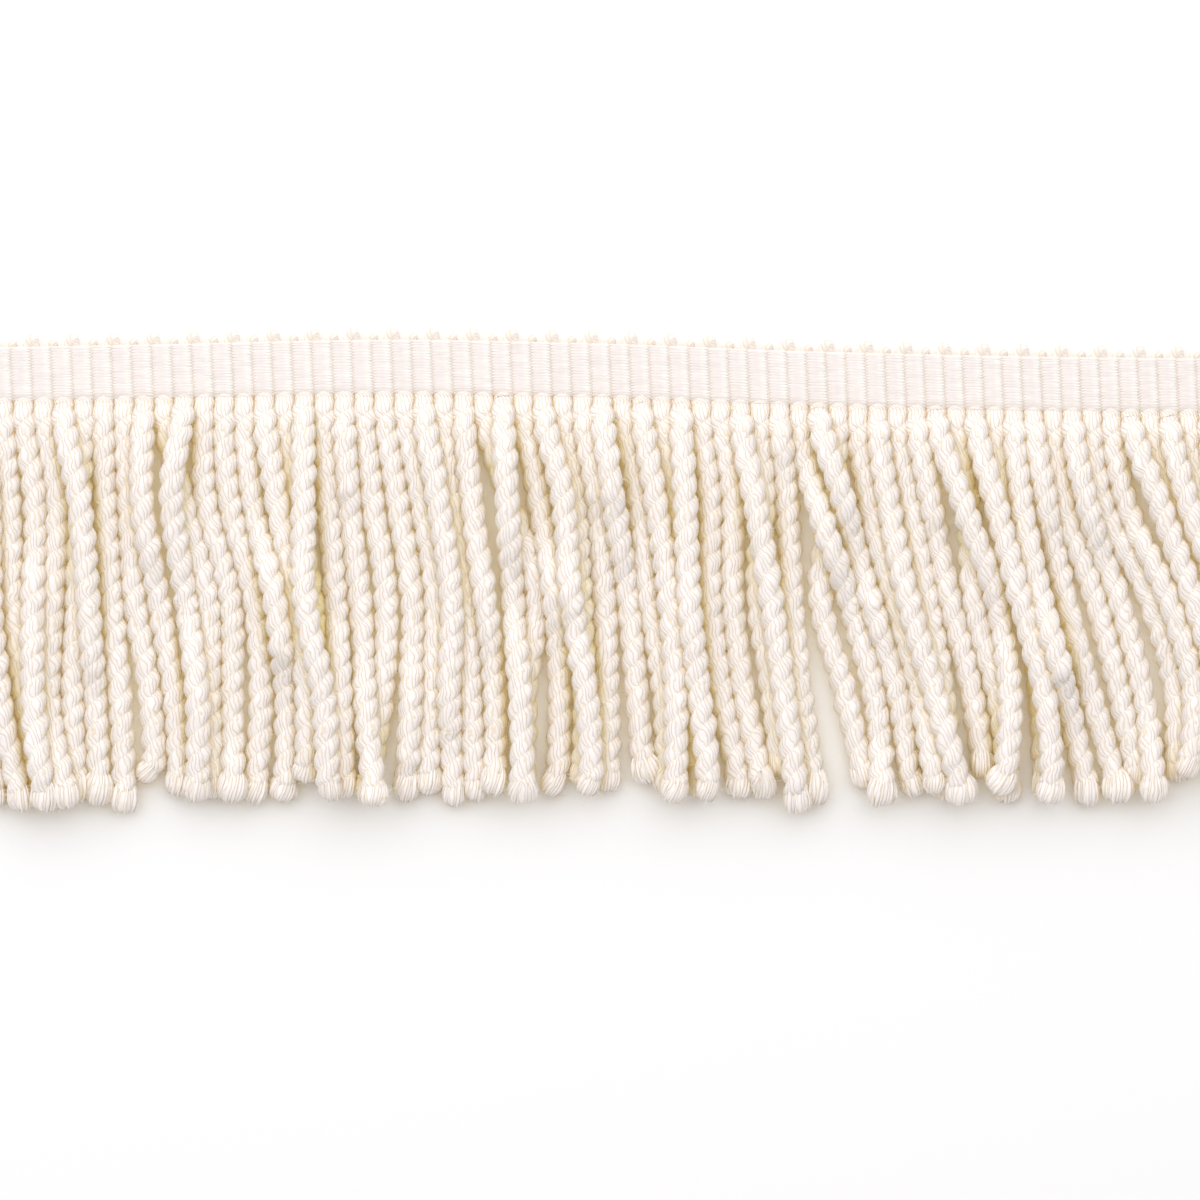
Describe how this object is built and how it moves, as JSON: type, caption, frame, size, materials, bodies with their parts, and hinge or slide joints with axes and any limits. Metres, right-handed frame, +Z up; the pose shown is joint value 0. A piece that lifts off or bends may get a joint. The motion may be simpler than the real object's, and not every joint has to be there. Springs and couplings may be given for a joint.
{
  "type": "bullion fringe trim",
  "caption": "Cut length of bullion fringe: a narrow ribbed woven heading with a skirt of twisted cords ending in closed loops, lying flat.",
  "frame": {"origin": "middle of the box around the trim as it lies, on the surface it lies on", "axes": "+X along the trim, +Y from the cord tips towards the heading, +Z up from the surface"},
  "size_m": [0.2266, 0.0792, 0.0087],
  "materials": {
    "heading": "matt warp-faced weave, off-white cotton",
    "bullion_skirt": "matt twisted cotton cord, off-white"
  },
  "bodies": {
    "root": {"heading": "heading", "bullion_skirt": "bullion_skirt"}
  },
  "joints": []
}
